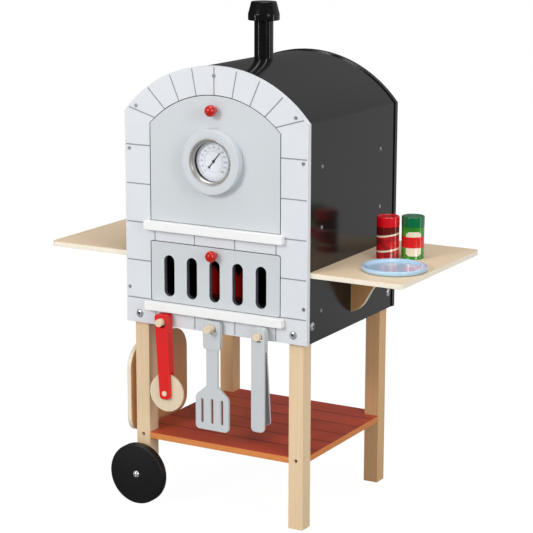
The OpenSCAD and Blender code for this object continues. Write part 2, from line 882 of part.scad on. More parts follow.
// Points of an arc round c from angle a to angle b
function arc(c, r, a, b) = [for (i = [0 : 16]) let (t = a + (b - a) * i / 16) c + r * [cos(t), sin(t)]];

// A board under the shelf: its free edge swells out from the panel, climbs at a steep slope and
// flares along the shelf to a blunt end
module bracket() {
  foot_a = 12;
  slope_a = 60;
  swell_r = bracket_h * 0.463;
  swell = arc(swell_r * [-sin(foot_a), cos(foot_a)], swell_r, foot_a - 90, slope_a - 90);
  climb = swell[16] + bracket_h * 0.25 * [cos(slope_a), sin(slope_a)];
  flare_c = bracket_h - bracket_nose - climb[1];
  end_a = 10;
  flare_r = flare_c / (cos(end_a) - cos(slope_a));
  flare = arc(climb + flare_r * [sin(slope_a), -cos(slope_a)], flare_r, slope_a + 90, end_a + 90);
  upright(-bracket_t / 2, bracket_t) translate([side_x, shelf_top - shelf_t - bracket_h])
    polygon(concat([[0, bracket_h]], swell, flare, [[flare[16][0], bracket_h]]));
}

module left_bracket() color(pale_wood) mirror([1, 0, 0]) bracket();

module right_bracket() color(pale_wood) bracket();

module axle_holes(r) {
  front_and_back() translate([-leg_x, face_y - wheel_w - lap, wheel_r]) rotate([-90, 0, 0])
    cylinder(r = r, h = axle_len + lap, $fn = 48);
}

// A plain disc with rounded edges, clear of the spacer behind it
module wheel() difference() {
  translate([-leg_x, face_y - wheel_gap, wheel_r]) rotate([90, 0, 0]) rotate_extrude() {
    translate([0, wheel_edge]) square([wheel_r, wheel_w - wheel_gap - 2 * wheel_edge]);
    square([wheel_r - wheel_edge, wheel_w - wheel_gap]);
    for (z = [wheel_edge, wheel_w - wheel_gap - wheel_edge])
      translate([wheel_r - wheel_edge, z]) circle(wheel_edge, $fn = 32);
  }
  axle_holes(axle_r + axle_clear);
}

module front_wheel() color(gloss_black) wheel();

module rear_wheel() color(gloss_black) mirror([0, 1, 0]) wheel();

module axle_bolts() color(steel) front_and_back()
  translate([-leg_x, face_y - wheel_w - wheel_gap, wheel_r]) rotate([90, 0, 0])
    dome_bolt(axle_r, axle_len - lap, axle_head_r, axle_head_h);

module wheel_spacers() color(pale_wood) difference() {
  front_and_back() translate([-leg_x, face_y, wheel_r]) rotate([-90, 0, 0])
    cylinder(r = spacer_r, h = panel_t, $fn = 48);
  axle_holes(axle_r);
}

module chimney_pipe() color(gloss_black) difference() {
  translate([0, 0, crown_z - 20]) cylinder(r = pipe_r, h = cap_bottom + cap_socket - crown_z + 20);
  translate([0, through / 2, arch_z]) rotate([90, 0, 0]) cylinder(r = roof_r, h = through, $fn = 200);
  chimney_dowel();
}

module chimney_cap() color(gloss_black) translate([0, 0, cap_bottom]) difference() {
  rotate_extrude() polygon([[0, 0], [cap_r - 0.7, 0], [cap_r, 2], [cap_r, cap_skirt],
    [cap_top_r + 1, cap_h - 1.5], [cap_top_r - 1, cap_h], [0, cap_h]]);
  translate([0, 0, -lap]) cylinder(r = pipe_r, h = cap_socket + lap);
}

module chimney_dowel() color(pale_wood)
  translate([0, 0, rail_bottom]) cylinder(r = dowel_r, h = dowel_top - rail_bottom, $fn = 48);

module front_pegs() {
  for (i = [-1 : 1]) translate([i * peg_pitch, inner_y, peg_z]) rotate([90, 0, 0])
    cylinder(r = peg_r, h = panel_t + peg_out);
}

module peel_peg() {
  translate([-side_in_x, peel_y, peel_peg_z]) rotate([0, -90, 0])
    cylinder(r = peg_r, h = panel_t + peg_out);
}

module hanging_pegs() color(pale_wood) {
  front_pegs();
  peel_peg();
}

// Moves a tool drawn round its peg to the peg, and turns it there
module hung(x, lean) {
  translate([x, 0, peg_z]) rotate([0, lean, 0]) children();
}

module hang_hole(y, t) {
  translate([0, y - lap, -hang_drop]) rotate([-90, 0, 0]) cylinder(r = hang_r, h = t + 2 * lap);
}

cutter_y = face_y - 20;
cutter_wheel_y = cutter_y + cutter_t / 2 - cutter_wheel_t / 2;

module cutter_handle() color(knob_red) hung(-peg_pitch, -cutter_lean) difference() {
  upright(cutter_y, cutter_t) {
    foot = cutter_foot_w / 2;
    top = cutter_top_w / 2;
    polygon([[4 - top, cutter_up], [top - 3, cutter_up], [top, cutter_up - 3],
      [foot, 6 - cutter_down], [foot - 1.8, 1.8 - cutter_down], [foot - 6, -cutter_down],
      [6 - foot, -cutter_down], [1.8 - foot, 1.8 - cutter_down], [-foot, 6 - cutter_down],
      [-top, cutter_up - 4]]);
  }
  hang_hole(cutter_y, cutter_t);
  translate([-cutter_top_w, cutter_wheel_y - fork_play, -cutter_down - lap])
    cube([2 * cutter_top_w, cutter_wheel_t + 2 * fork_play, cutter_down - cutter_pin_down + fork_up]);
  translate([0, 0, -cutter_pin_down]) cutter_pin_shape(cutter_pin_r);
}

module cutter_pin_shape(r) {
  translate([0, cutter_y - 1.5, 0]) rotate([-90, 0, 0]) cylinder(r = r, h = cutter_t + 3, $fn = 32);
}

module cutter_pin() color(pale_wood) hung(-peg_pitch, -cutter_lean)
  translate([0, 0, -cutter_pin_down]) {
    cutter_pin_shape(cutter_pin_r);
    for (y = [cutter_y - 1.5, cutter_y + cutter_t]) translate([0, y, 0]) rotate([-90, 0, 0])
      cylinder(r = cutter_pin_r + 2, h = 1.5, $fn = 32);
  }

module cutter_wheel() color(pale_wood) hung(-peg_pitch, -cutter_lean)
  translate([0, 0, -cutter_pin_down]) difference() {
    translate([0, cutter_wheel_y, 0]) rotate([-90, 0, 0]) cylinder(r = cutter_wheel_r, h = cutter_wheel_t);
    cutter_pin_shape(cutter_pin_r + 0.1);
  }

module spatula() color(tool_grey) hung(0, 0) {
  y = face_y - 4 - grip_t;
  blade_y = y + (grip_t - blade_t) / 2;
  shoulder = blade_h - spatula_down;
  difference() {
    upright(y, grip_t) round_rect([-grip_half, -grip_down], [grip_half, grip_up], 6);
    hang_hole(y, grip_t);
  }
  difference() {
    upright(blade_y, blade_t) {
      translate([-shank_half, shoulder - 2]) square([2 * shank_half, 3.5 - grip_down - shoulder]);
      polygon([[-shank_half, shoulder], [shank_half, shoulder], [blade_half - 3, shoulder - 17],
        [blade_half, shoulder - 23], [blade_half, shoulder - 40], [-blade_half, shoulder - 40],
        [-blade_half, shoulder - 23], [3 - blade_half, shoulder - 17]]);
      round_rect([-blade_half, -spatula_down], [blade_half, shoulder - 30], 8);
      translate([-blade_half, shoulder - 50]) square([2 * blade_half, 20]);
    }
    for (i = [-1 : 1]) upright(blade_y - lap, blade_t + 2 * lap)
      slot_outline(i * blade_slot_pitch, shoulder - blade_slot_h, blade_slot_w, blade_slot_h);
  }
}

tongs_y = face_y - tongs_out;
tongs_rear_y = tongs_y + tongs_t + tongs_gap;
tongs_bend = -tongs_block_down;

module tongs_outline(down) {
  round_rect([-tongs_w / 2, -down], [tongs_w / 2, tongs_up], 8);
}

// The bending line at the foot of the block, where the rear arm turns
module tongs_knuckle(r) {
  translate([-tongs_w, tongs_rear_y + tongs_t / 2, tongs_bend]) rotate([0, 90, 0])
    cylinder(r = r, h = 2 * tongs_w, $fn = 48);
}

module tongs_front_arm() color(tool_grey) hung(peg_pitch, 0) difference() {
  upright(tongs_y, tongs_t) tongs_outline(tongs_down);
  hang_hole(tongs_y, tongs_t);
}

// The block between the arms, with the upper end of the rear arm that is glued to it
module tongs_block() color(tool_grey) hung(peg_pitch, 0) difference() {
  intersection() {
    upright(tongs_y + tongs_t, tongs_gap + tongs_t) tongs_outline(tongs_block_down + 20);
    translate([-tongs_w, tongs_y, tongs_bend]) cube([2 * tongs_w, tongs_out, tongs_down]);
  }
  tongs_knuckle(tongs_t / 2 + 0.2);
  hang_hole(tongs_y + tongs_t, tongs_gap + tongs_t);
}

// The free part of the rear arm, leaning back from a round upper end
module tongs_rear_arm() color(tool_grey) hung(peg_pitch, 0) {
  foot = tongs_short - tongs_down;
  back = tan(tongs_splay) * (tongs_bend - foot);
  intersection() {
    upright(tongs_y, through) tongs_outline(-foot);
    union() {
      tongs_knuckle(tongs_t / 2);
      translate([-tongs_w, tongs_rear_y, 0]) rotate([90, 0, 90]) linear_extrude(2 * tongs_w)
        polygon([[0.1, tongs_bend], [back, foot - lap], [tongs_t + back, foot - lap],
          [tongs_t - 0.1, tongs_bend]]);
    }
  }
}

// A broad blade with round corners and a handle up to its peg
module pizza_peel() color(pale_wood)
  translate([-side_x - 1, peel_y, peel_peg_z]) rotate([0, 0, -90]) {
    blade_top = -peel_handle_down;
    difference() {
      upright(-peel_t, peel_t) {
        round_rect([-peel_w / 2, blade_top - peel_blade_h], [peel_w / 2, blade_top - 50], 28);
        round_rect([-peel_w / 2, blade_top - 120], [peel_w / 2, blade_top], 46);
        round_rect([-peel_handle_w / 2, blade_top - 40], [peel_handle_w / 2, 20], 14);
      }
      hang_hole(-peel_t, peel_t);
    }
  }

module tin(x, y) {
  translate([x, y, shelf_top]) rotate_extrude() polygon([[0, 0], [tin_r - 1, 0], [tin_r, 1],
    [tin_r, tin_h - tin_lid_h - 1], [tin_r - 0.8, tin_h - tin_lid_h - 0.5],
    [tin_r - 0.8, tin_h - tin_lid_h], [tin_r, tin_h - tin_lid_h + 0.5], [tin_r, tin_h - 1.5],
    [tin_r - 1.5, tin_h], [0, tin_h]]);
}

module red_tin() color([0.6, 0.07, 0.09]) tin(shelf_reach - red_tin_in, red_tin_back);

module green_tin() color([0.05, 0.35, 0.15]) tin(shelf_reach - green_tin_in, green_tin_back);

// A turned disc with a round edge and a shallow hollow
module plate() color([0.6, 0.76, 0.9])
  translate([shelf_reach - plate_edge - plate_r, -plate_front, shelf_top]) rotate_extrude() {
    hollow_r = plate_r - plate_rim;
    polygon([[0, 0], [plate_r - 4, 0], [plate_r - 1, 2], [plate_r, plate_h / 2],
      [plate_r - 0.7, plate_h - 1.5], [plate_r - 2.5, plate_h], [plate_r - 4.5, plate_h - 0.3],
      [hollow_r + 1.5, plate_t + 0.8], [hollow_r - 2, plate_t], [0, plate_t]]);
  }

module panel_screws() color(steel)
  at_panel_screws() screw(screw_r, screw_len, screw_head_r, screw_head_h);

module side_screws() color(steel)
  at_side_screws() screw(screw_r, screw_len, screw_head_r, screw_head_h);

module leg_bolts() color(steel)
  at_leg_bolts() dome_bolt(bolt_r, bolt_len, bolt_head_r, bolt_head_h);

front_panel();
back_panel();
left_side_panel();
right_side_panel();
roof_sheet();
crown_rail();
haunch_rails();
oven_shelf();
oven_floor();
firebox_floor();
flame_board();
upper_door();
upper_door_pins();
upper_door_stop();
upper_knob();
upper_knob_screw();
thermometer_ring();
thermometer_bezel();
thermometer_dial();
thermometer_pointer();
lower_door();
lower_door_pins();
lower_door_stop();
lower_knob();
lower_knob_screw();
catch_magnets();
upper_ledge();
lower_ledge();
front_left_leg();
front_right_leg();
rear_left_leg();
rear_right_leg();
lower_shelf();
left_side_shelf();
right_side_shelf();
left_bracket();
right_bracket();
front_wheel();
rear_wheel();
axle_bolts();
wheel_spacers();
hanging_pegs();
cutter_handle();
cutter_wheel();
cutter_pin();
spatula();
tongs_front_arm();
tongs_rear_arm();
tongs_block();
pizza_peel();
chimney_pipe();
chimney_cap();
chimney_dowel();
panel_screws();
side_screws();
leg_bolts();
shelf_screws();
red_tin();
green_tin();
plate();
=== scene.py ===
import json
import math

import bpy
from mathutils import Matrix, Vector


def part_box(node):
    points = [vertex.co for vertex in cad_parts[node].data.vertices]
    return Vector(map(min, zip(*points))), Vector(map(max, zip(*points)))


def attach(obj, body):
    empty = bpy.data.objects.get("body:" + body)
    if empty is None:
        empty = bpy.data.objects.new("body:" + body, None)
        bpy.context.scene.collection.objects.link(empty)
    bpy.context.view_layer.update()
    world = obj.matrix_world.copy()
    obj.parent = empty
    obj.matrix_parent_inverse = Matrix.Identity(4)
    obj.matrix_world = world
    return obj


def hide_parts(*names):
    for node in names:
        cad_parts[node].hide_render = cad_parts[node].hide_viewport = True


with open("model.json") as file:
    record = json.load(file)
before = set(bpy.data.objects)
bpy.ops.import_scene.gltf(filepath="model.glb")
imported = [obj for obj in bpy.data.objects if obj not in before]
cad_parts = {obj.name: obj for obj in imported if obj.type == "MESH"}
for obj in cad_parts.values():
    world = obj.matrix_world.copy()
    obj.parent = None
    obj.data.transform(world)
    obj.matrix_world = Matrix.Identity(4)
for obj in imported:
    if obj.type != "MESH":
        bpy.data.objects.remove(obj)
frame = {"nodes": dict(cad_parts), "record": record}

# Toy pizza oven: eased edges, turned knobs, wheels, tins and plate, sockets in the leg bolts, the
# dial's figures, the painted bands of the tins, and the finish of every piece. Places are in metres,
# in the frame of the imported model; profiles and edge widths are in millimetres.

MM = 0.001
NODES = frame["nodes"]
RECORD = frame["record"]
SLOT_OF = {part["node"]: part["material_slot"] for part in RECORD["subparts"]}
BODY_OF = {
    node: body for body, nodes in RECORD["behaviour"]["bodies"].items() for node in nodes
}
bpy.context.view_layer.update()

TIN_LID = 18.6
DIAL_RING = 19.9
ALONG_X = (0, math.radians(90), 0)
ALONG_Y = (math.radians(90), 0, 0)
OUT_FRONT = (0, -1, 0)
UP = (0, 0, 1)


# ---------------------------------------------------------------- node trees


class Tree:
    """Short ways to add nodes to a node tree."""

    def __init__(self, tree):
        self.tree = tree

    def add(self, kind, **settings):
        node = self.tree.nodes.new(kind)
        for key, value in settings.items():
            setattr(node, key, value)
        return node

    def feed(self, socket, value):
        """Joins another node's output to a socket, or sets the socket to a plain value."""
        if isinstance(value, bpy.types.NodeSocket):
            self.tree.links.new(value, socket)
        else:
            socket.default_value = value

    def filled(self, node, **values):
        """Feeds a node's inputs by name, with an underscore for each space."""
        for key, value in values.items():
            self.feed(node.inputs[key.replace("_", " ")], value)
        return node

    def calc(self, operation, *values):
        node = self.add("ShaderNodeMath", operation=operation)
        for socket, value in zip(node.inputs, values):
            self.feed(socket, value)
        return node.outputs[0]

    def mix(self, factor, first, second):
        """A colour mixed from two by a mask."""
        node = self.add("ShaderNodeMix", data_type="RGBA")
        for index, value in ((0, factor), (6, first), (7, second)):
            self.feed(node.inputs[index], value)
        return node.outputs[2]

    def noise(self, vector, scale, detail, roughness=0.55):
        node = self.add("ShaderNodeTexNoise")
        self.filled(node, Vector=vector, Scale=scale, Detail=detail, Roughness=roughness)
        return node.outputs["Fac"]

    def spread(self, value, low, high, to_low=0.0, to_high=1.0, soft=False):
        """A value's range from low to high, stretched to another range and clamped there."""
        node = self.add("ShaderNodeMapRange", interpolation_type="SMOOTHSTEP" if soft else "LINEAR")
        self.filled(node, Value=value, From_Min=low, From_Max=high, To_Min=to_low, To_Max=to_high)
        return node.outputs[0]

    def band(self, value, low, high, soft=0.00015):
        """A mask that is 1 where the value lies between low and high, with a soft edge."""
        rise = self.spread(value, low - soft, low + soft, soft=True)
        fall = self.spread(value, high + soft, high - soft, soft=True)
        return self.calc("MULTIPLY", rise, fall)

    def parts(self, vector):
        node = self.add("ShaderNodeSeparateXYZ")
        self.feed(node.inputs[0], vector)
        return node.outputs

    def shader(self, kind, **values):
        return self.filled(self.add(kind), **values).outputs[0]

    def either(self, choice, first, second):
        """The first shader where choice is 0, and the second where it is 1."""
        node = self.add("ShaderNodeMixShader")
        for socket, value in zip(node.inputs, (choice, first, second)):
            self.feed(socket, value)
        return node.outputs[0]


class Effect(Tree):
    """A shader node group that several finishes share; a number in inputs makes a float socket."""

    def __init__(self, name, inputs, outputs):
        super().__init__(bpy.data.node_groups.new(name, "ShaderNodeTree"))
        sockets = self.tree.interface
        for label, value in inputs.items():
            if isinstance(value, str):
                sockets.new_socket(label, in_out="INPUT", socket_type=f"NodeSocket{value}")
            else:
                socket = sockets.new_socket(label, in_out="INPUT", socket_type="NodeSocketFloat")
                socket.default_value = value
        for label, kind in outputs.items():
            sockets.new_socket(label, in_out="OUTPUT", socket_type=f"NodeSocket{kind}")
        self.given = self.add("NodeGroupInput").outputs
        self.made = self.add("NodeGroupOutput")


def make_grain():
    """Wood grain that runs along Z: broad bands, fine fibres and short pores."""
    group = Effect(
        "Wood grain",
        {"Vector": "Vector", "Pale": "Color", "Dark": "Color", "Contrast": 1.0},
        {"Color": "Color", "Height": "Float"},
    )
    stretch = group.add("ShaderNodeVectorMath", operation="MULTIPLY")
    group.feed(stretch.inputs[0], group.given["Vector"])
    group.feed(stretch.inputs[1], (1, 1, 0.045))
    along = stretch.outputs[0]
    broad = group.noise(along, 42, 3)
    bands = group.add("ShaderNodeTexWave", wave_type="BANDS", bands_direction="X")
    group.filled(bands, Vector=along, Scale=26, Distortion=7, Detail=3, Detail_Scale=1.2)
    fibres = group.noise(along, 900, 3, 0.7)
    pores = group.spread(group.noise(along, 1700, 2), 0.62, 0.74)
    share = group.calc("MULTIPLY", broad, 0.5)
    share = group.calc("ADD", share, group.calc("MULTIPLY", bands.outputs["Fac"], 0.28))
    share = group.calc("ADD", share, group.calc("MULTIPLY", fibres, 0.3))
    share = group.calc("MULTIPLY", group.calc("SUBTRACT", share, 0.28), group.given["Contrast"])
    share = group.calc("ADD", share, group.calc("MULTIPLY", pores, 0.12))
    color = group.mix(group.spread(share, 0, 1), group.given["Pale"], group.given["Dark"])
    group.filled(group.made, Color=color, Height=group.calc("SUBTRACT", fibres, pores))
    return group.tree


def make_tone():
    """Slow change of a colour over a surface, with a fine speck."""
    group = Effect(
        "Tone variation",
        {"Vector": "Vector", "Color": "Color", "Amount": 0.04, "Low Roughness": 0.3, "High Roughness": 0.4},
        {"Color": "Color", "Roughness": "Float", "Height": "Float"},
    )
    given = group.given
    slow = group.noise(given["Vector"], 9, 3)
    fine = group.noise(given["Vector"], 420, 3)
    mixed = group.calc("ADD", group.calc("MULTIPLY", slow, 0.7), group.calc("MULTIPLY", fine, 0.3))
    least = group.calc("SUBTRACT", 1, given["Amount"])
    most = group.calc("ADD", 1, given["Amount"])
    scale = group.add("ShaderNodeVectorMath", operation="SCALE")
    group.feed(scale.inputs[0], given["Color"])
    group.filled(scale, Scale=group.spread(mixed, 0.3, 0.7, least, most))
    rough = group.spread(mixed, 0.3, 0.7, given["Low Roughness"], given["High Roughness"])
    group.filled(group.made, Color=scale.outputs[0], Roughness=rough, Height=fine)
    return group.tree


def make_wear():
    """Rubbed edges with painted highlight: lightens a colour where the edge attribute and a patchy noise
    meet.
    """
    group = Effect(
        "Edge wear",
        {"Vector": "Vector", "Edge": 0.0, "Color": "Color", "Worn": "Color", "Amount": 0.5},
        {"Color": "Color"},
    )
    given = group.given
    patch = group.spread(group.noise(given["Vector"], 130, 4), 0.4, 0.65)
    mask = group.calc("MULTIPLY", given["Edge"], group.calc("MULTIPLY", patch, given["Amount"]))
    group.filled(group.made, Color=group.mix(mask, given["Color"], given["Worn"]))
    return group.tree


GRAIN = make_grain()
TONE = make_tone()
EDGE_WEAR_AND_HIGHLIGHT = make_wear()


# ---------------------------------------------------------------- finishes


def paint(red, green, blue):
    """A display colour from 0 to 255 as the linear colour that a shader socket takes."""
    linear = []
    for value in (red, green, blue):
        share = value / 255
        linear.append(share / 12.92 if share <= 0.04045 else ((share + 0.055) / 1.055) ** 2.4)
    return (*linear, 1.0)


class Finish(Tree):
    """A material under construction, with its Principled shader."""

    def __init__(self, name, roughness, metallic=0.0, coat=0.0, coat_roughness=0.1):
        self.material = bpy.data.materials.new(name)
        self.material.use_nodes = True
        super().__init__(self.material.node_tree)
        self.principled = self.tree.nodes["Principled BSDF"]
        self.filled(
            self.principled, Roughness=roughness, Metallic=metallic,
            Coat_Weight=coat, Coat_Roughness=coat_roughness,
        )

    def place(self, centre=(0, 0, 0), turn=(0, 0, 0)):
        """Object coordinates, moved so that a pattern is centred on the piece and turned to it."""
        mapping = self.add("ShaderNodeMapping", vector_type="TEXTURE")
        self.filled(
            mapping, Vector=self.add("ShaderNodeTexCoord").outputs["Object"],
            Location=centre, Rotation=turn,
        )
        return mapping.outputs["Vector"]

    def effect(self, group, vector, **values):
        """Adds one of the shared effects."""
        return self.filled(self.add("ShaderNodeGroup", node_tree=group), Vector=vector, **values).outputs

    def color(self, source):
        self.colored = source
        self.feed(self.principled.inputs["Base Color"], source)

    def surface(self, roughness, height, strength, depth):
        """The finish's roughness and its fine relief."""
        bump = self.filled(self.add("ShaderNodeBump"), Strength=strength, Distance=depth, Height=height)
        self.filled(self.principled, Roughness=roughness, Normal=bump.outputs["Normal"])

    def worn(self, vector, color, worn, amount):
        """The colour, lightened as rubbing and painted highlight where the edge attribute marks an eased
        edge.
        """
        edge = self.add("ShaderNodeAttribute", attribute_name="edge").outputs["Fac"]
        self.color(self.effect(EDGE_WEAR_AND_HIGHLIGHT, vector, Edge=edge, Color=color, Worn=worn, Amount=amount)["Color"])

    def cut_edges(self, edge_color, low, high):
        """Between two heights, below the top face of a board, its cut edges have their own colour."""
        height = self.parts(self.place())["Z"]
        self.color(self.mix(self.band(height, low, high), self.colored, edge_color))


def painted(
    name, color, worn, roughness=0.36, amount=0.02, coat=0.0, wear_and_highlight=0.35, rough_spread=0.05, speck=0.06
):
    """Sprayed paint on smooth board, its eased edges a little lighter as rubbing and painted highlight."""
    finish = Finish(name, roughness, coat=coat, coat_roughness=0.08)
    vector = finish.place()
    tone = finish.effect(
        TONE, vector, Color=color, Amount=amount,
        Low_Roughness=roughness - rough_spread, High_Roughness=roughness + rough_spread,
    )
    finish.worn(vector, tone["Color"], worn, wear_and_highlight)
    finish.surface(tone["Roughness"], tone["Height"], strength=speck, depth=0.0002)
    return finish


def wooden(name, pale, dark, turn=(0, 0, 0), contrast=0.45, roughness=0.5):
    """Clear-lacquered wood with its grain along one axis."""
    finish = Finish(name, roughness)
    vector = finish.place(turn=turn)
    grain = finish.effect(GRAIN, vector, Pale=pale, Dark=dark, Contrast=contrast)
    # Eased edges turn towards the pale colour, as rubbing and painted highlight
    finish.worn(vector, grain["Color"], pale, 0.5)
    rough = finish.spread(grain["Height"], 0, 1, roughness - 0.06, roughness + 0.08)
    finish.surface(rough, grain["Height"], strength=0.25, depth=0.00012)
    return finish


def metal(name, color, roughness, metallic=1.0):
    """Plated metal with fine brushing and faint stains."""
    finish = Finish(name, roughness, metallic=metallic)
    tone = finish.effect(
        TONE, finish.place(), Color=color, Amount=0.04,
        Low_Roughness=roughness * 0.75, High_Roughness=roughness * 1.3,
    )
    finish.color(tone["Color"])
    finish.surface(tone["Roughness"], tone["Height"], strength=0.05, depth=0.0001)
    return finish


def red_board_finish():
    """Stained board printed with narrow planks; its cut edges are bare orange."""
    finish = wooden(
        "Red stained board", paint(216, 84, 54), paint(176, 54, 34),
        turn=ALONG_X, contrast=0.6, roughness=0.36,
    )
    low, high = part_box("lower_shelf")
    plank = (high.y - low.y) / 6
    step = finish.calc("DIVIDE", finish.parts(finish.place(centre=(0, low.y, 0)))["Y"], plank)
    joint = finish.band(finish.calc("FRACT", step), -0.1, 0.05, soft=0.006)
    joint = finish.calc("MULTIPLY", joint, finish.band(step, 0.5, 99))
    tone = finish.add("ShaderNodeTexWhiteNoise", noise_dimensions="1D")
    finish.filled(tone, W=finish.calc("FLOOR", step))
    share = finish.calc("MULTIPLY", tone.outputs["Value"], 0.2)
    toned = finish.mix(share, finish.colored, paint(150, 44, 30))
    finish.color(finish.mix(finish.calc("MULTIPLY", joint, 0.9), toned, paint(72, 20, 16)))
    edge_grain = finish.effect(
        GRAIN, finish.place(turn=ALONG_X), Pale=paint(226, 142, 76), Dark=paint(206, 118, 56), Contrast=0.6
    )
    finish.cut_edges(edge_grain["Color"], low.z - 0.01, high.z - 0.0007)
    return finish


def shelf_finish():
    """Pale lacquered board, its cut edges a little lighter."""
    finish = wooden(
        "Pale board", paint(240, 216, 184), paint(216, 186, 148), turn=ALONG_Y, contrast=0.4, roughness=0.36
    )
    low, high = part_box("right_side_shelf")
    edge_grain = finish.effect(
        GRAIN, finish.place(turn=ALONG_Y), Pale=paint(248, 240, 222), Dark=paint(234, 220, 194), Contrast=0.5
    )
    finish.cut_edges(edge_grain["Color"], low.z - 0.001, high.z - 0.0008)
    return finish


def dial_finish():
    """Printed dial: a bluish white card with a faint ring."""
    low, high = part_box("thermometer_dial")
    finish = Finish("Printed dial", 0.35, coat=0.4, coat_roughness=0.05)
    vector = finish.place(centre=(low + high) / 2)
    tone = finish.effect(
        TONE, vector, Color=paint(236, 240, 247), Amount=0.015, Low_Roughness=0.3, High_Roughness=0.4
    )
    parts = finish.parts(vector)
    flat = finish.filled(finish.add("ShaderNodeCombineXYZ"), X=parts["X"], Z=parts["Z"])
    distance = finish.add("ShaderNodeVectorMath", operation="LENGTH")
    finish.feed(distance.inputs[0], flat.outputs[0])
    ring = finish.band(distance.outputs["Value"], (DIAL_RING - 0.3) * MM, (DIAL_RING + 0.3) * MM)
    finish.color(finish.mix(finish.calc("MULTIPLY", ring, 0.5), tone["Color"], paint(150, 160, 176)))
    finish.surface(tone["Roughness"], tone["Height"], strength=0.03, depth=0.0001)
    return finish


def bezel_finish():
    """Brushed steel in front, and black painted shade on its inner wall behind the lip."""
    finish = metal("Brushed bezel", paint(196, 194, 190), 0.28, metallic=0.55)
    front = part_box("thermometer_bezel")[0].y
    depth = finish.parts(finish.place(centre=(0, front, 0)))["Y"]
    # Deeper than the lip the steel is painted black as shade in the recess
    recess_shade = finish.band(depth, 0.0076, 1.0, soft=0.0003)
    finish.color(finish.mix(recess_shade, finish.colored, paint(16, 16, 18)))
    return finish


class TinFinish(Finish):
    """A glossy painted tin; heights are measured from its foot, with soft borders between the colours."""

    border = 0.0003

    def __init__(self, name, node, body_color, blotch_color):
        low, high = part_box(node)
        super().__init__(name, 0.22, coat=0.6, coat_roughness=0.05)
        vector = self.place(centre=((low.x + high.x) / 2, (low.y + high.y) / 2, low.z))
        x, y, self.height = self.parts(vector)
        tone = self.effect(
            TONE, vector, Color=body_color, Amount=0.05, Low_Roughness=0.16, High_Roughness=0.26
        )
        blotch = self.band(self.noise(vector, 60, 2, 0.5), 0.55, 0.9, soft=0.12)
        self.color(self.mix(blotch, tone["Color"], blotch_color))
        self.surface(tone["Roughness"], tone["Height"], strength=0.04, depth=0.0001)
        # The sideways place on the tin as seen from the front right
        self.across = self.calc("ADD", self.calc("MULTIPLY", x, 0.87), self.calc("MULTIPLY", y, 0.49))
        self.lid_start = high.z - low.z - TIN_LID * MM

    def stripe(self, color, low, high, slope=0.0):
        """A band round the tin, which may climb to one side."""
        lifted = self.calc("SUBTRACT", self.height, self.calc("MULTIPLY", self.across, slope))
        self.color(self.mix(self.band(lifted, low, high, soft=self.border), self.colored, color))

    def panel(self, color, half, low, high, chamfer):
        """An upright panel on the side towards the camera, with its corners cut."""
        wide = self.band(self.across, -half, half, soft=self.border)
        inside = self.calc("MULTIPLY", wide, self.band(self.height, low, high, soft=self.border))
        off = self.calc("ABSOLUTE", self.calc("SUBTRACT", self.height, (low + high) / 2))
        corner = self.calc("ADD", self.calc("ABSOLUTE", self.across), off)
        reach = half + (high - low) / 2 - chamfer
        inside = self.calc("MULTIPLY", inside, self.band(corner, -1.0, reach, soft=self.border))
        self.color(self.mix(inside, self.colored, color))

    def lid(self, color):
        """The painted lid covers all above its lower edge."""
        self.color(self.mix(self.band(self.height, self.lid_start, 1.0, soft=0.0002), self.colored, color))
        return self


CREAM = paint(240, 226, 200)


def red_tin_finish():
    tin = TinFinish("Red tin paint", "red_tin", paint(206, 28, 32), paint(150, 22, 26))
    climb = 0.15
    tin.stripe(CREAM, 0.0148, 0.0182, climb)
    tin.stripe(CREAM, 0.0426, 0.0460, climb)
    tin.stripe(paint(108, 18, 20), 0.0460, 0.080, climb)
    return tin.lid(paint(222, 10, 26))


def green_tin_finish():
    tin = TinFinish("Green tin paint", "green_tin", paint(66, 152, 40), paint(46, 128, 36))
    tin.panel(CREAM, 0.0137, 0.0062, 0.0512, 0.0045)
    tin.stripe(paint(222, 30, 30), 0.0212, 0.0415)
    return tin.lid(paint(4, 112, 66))


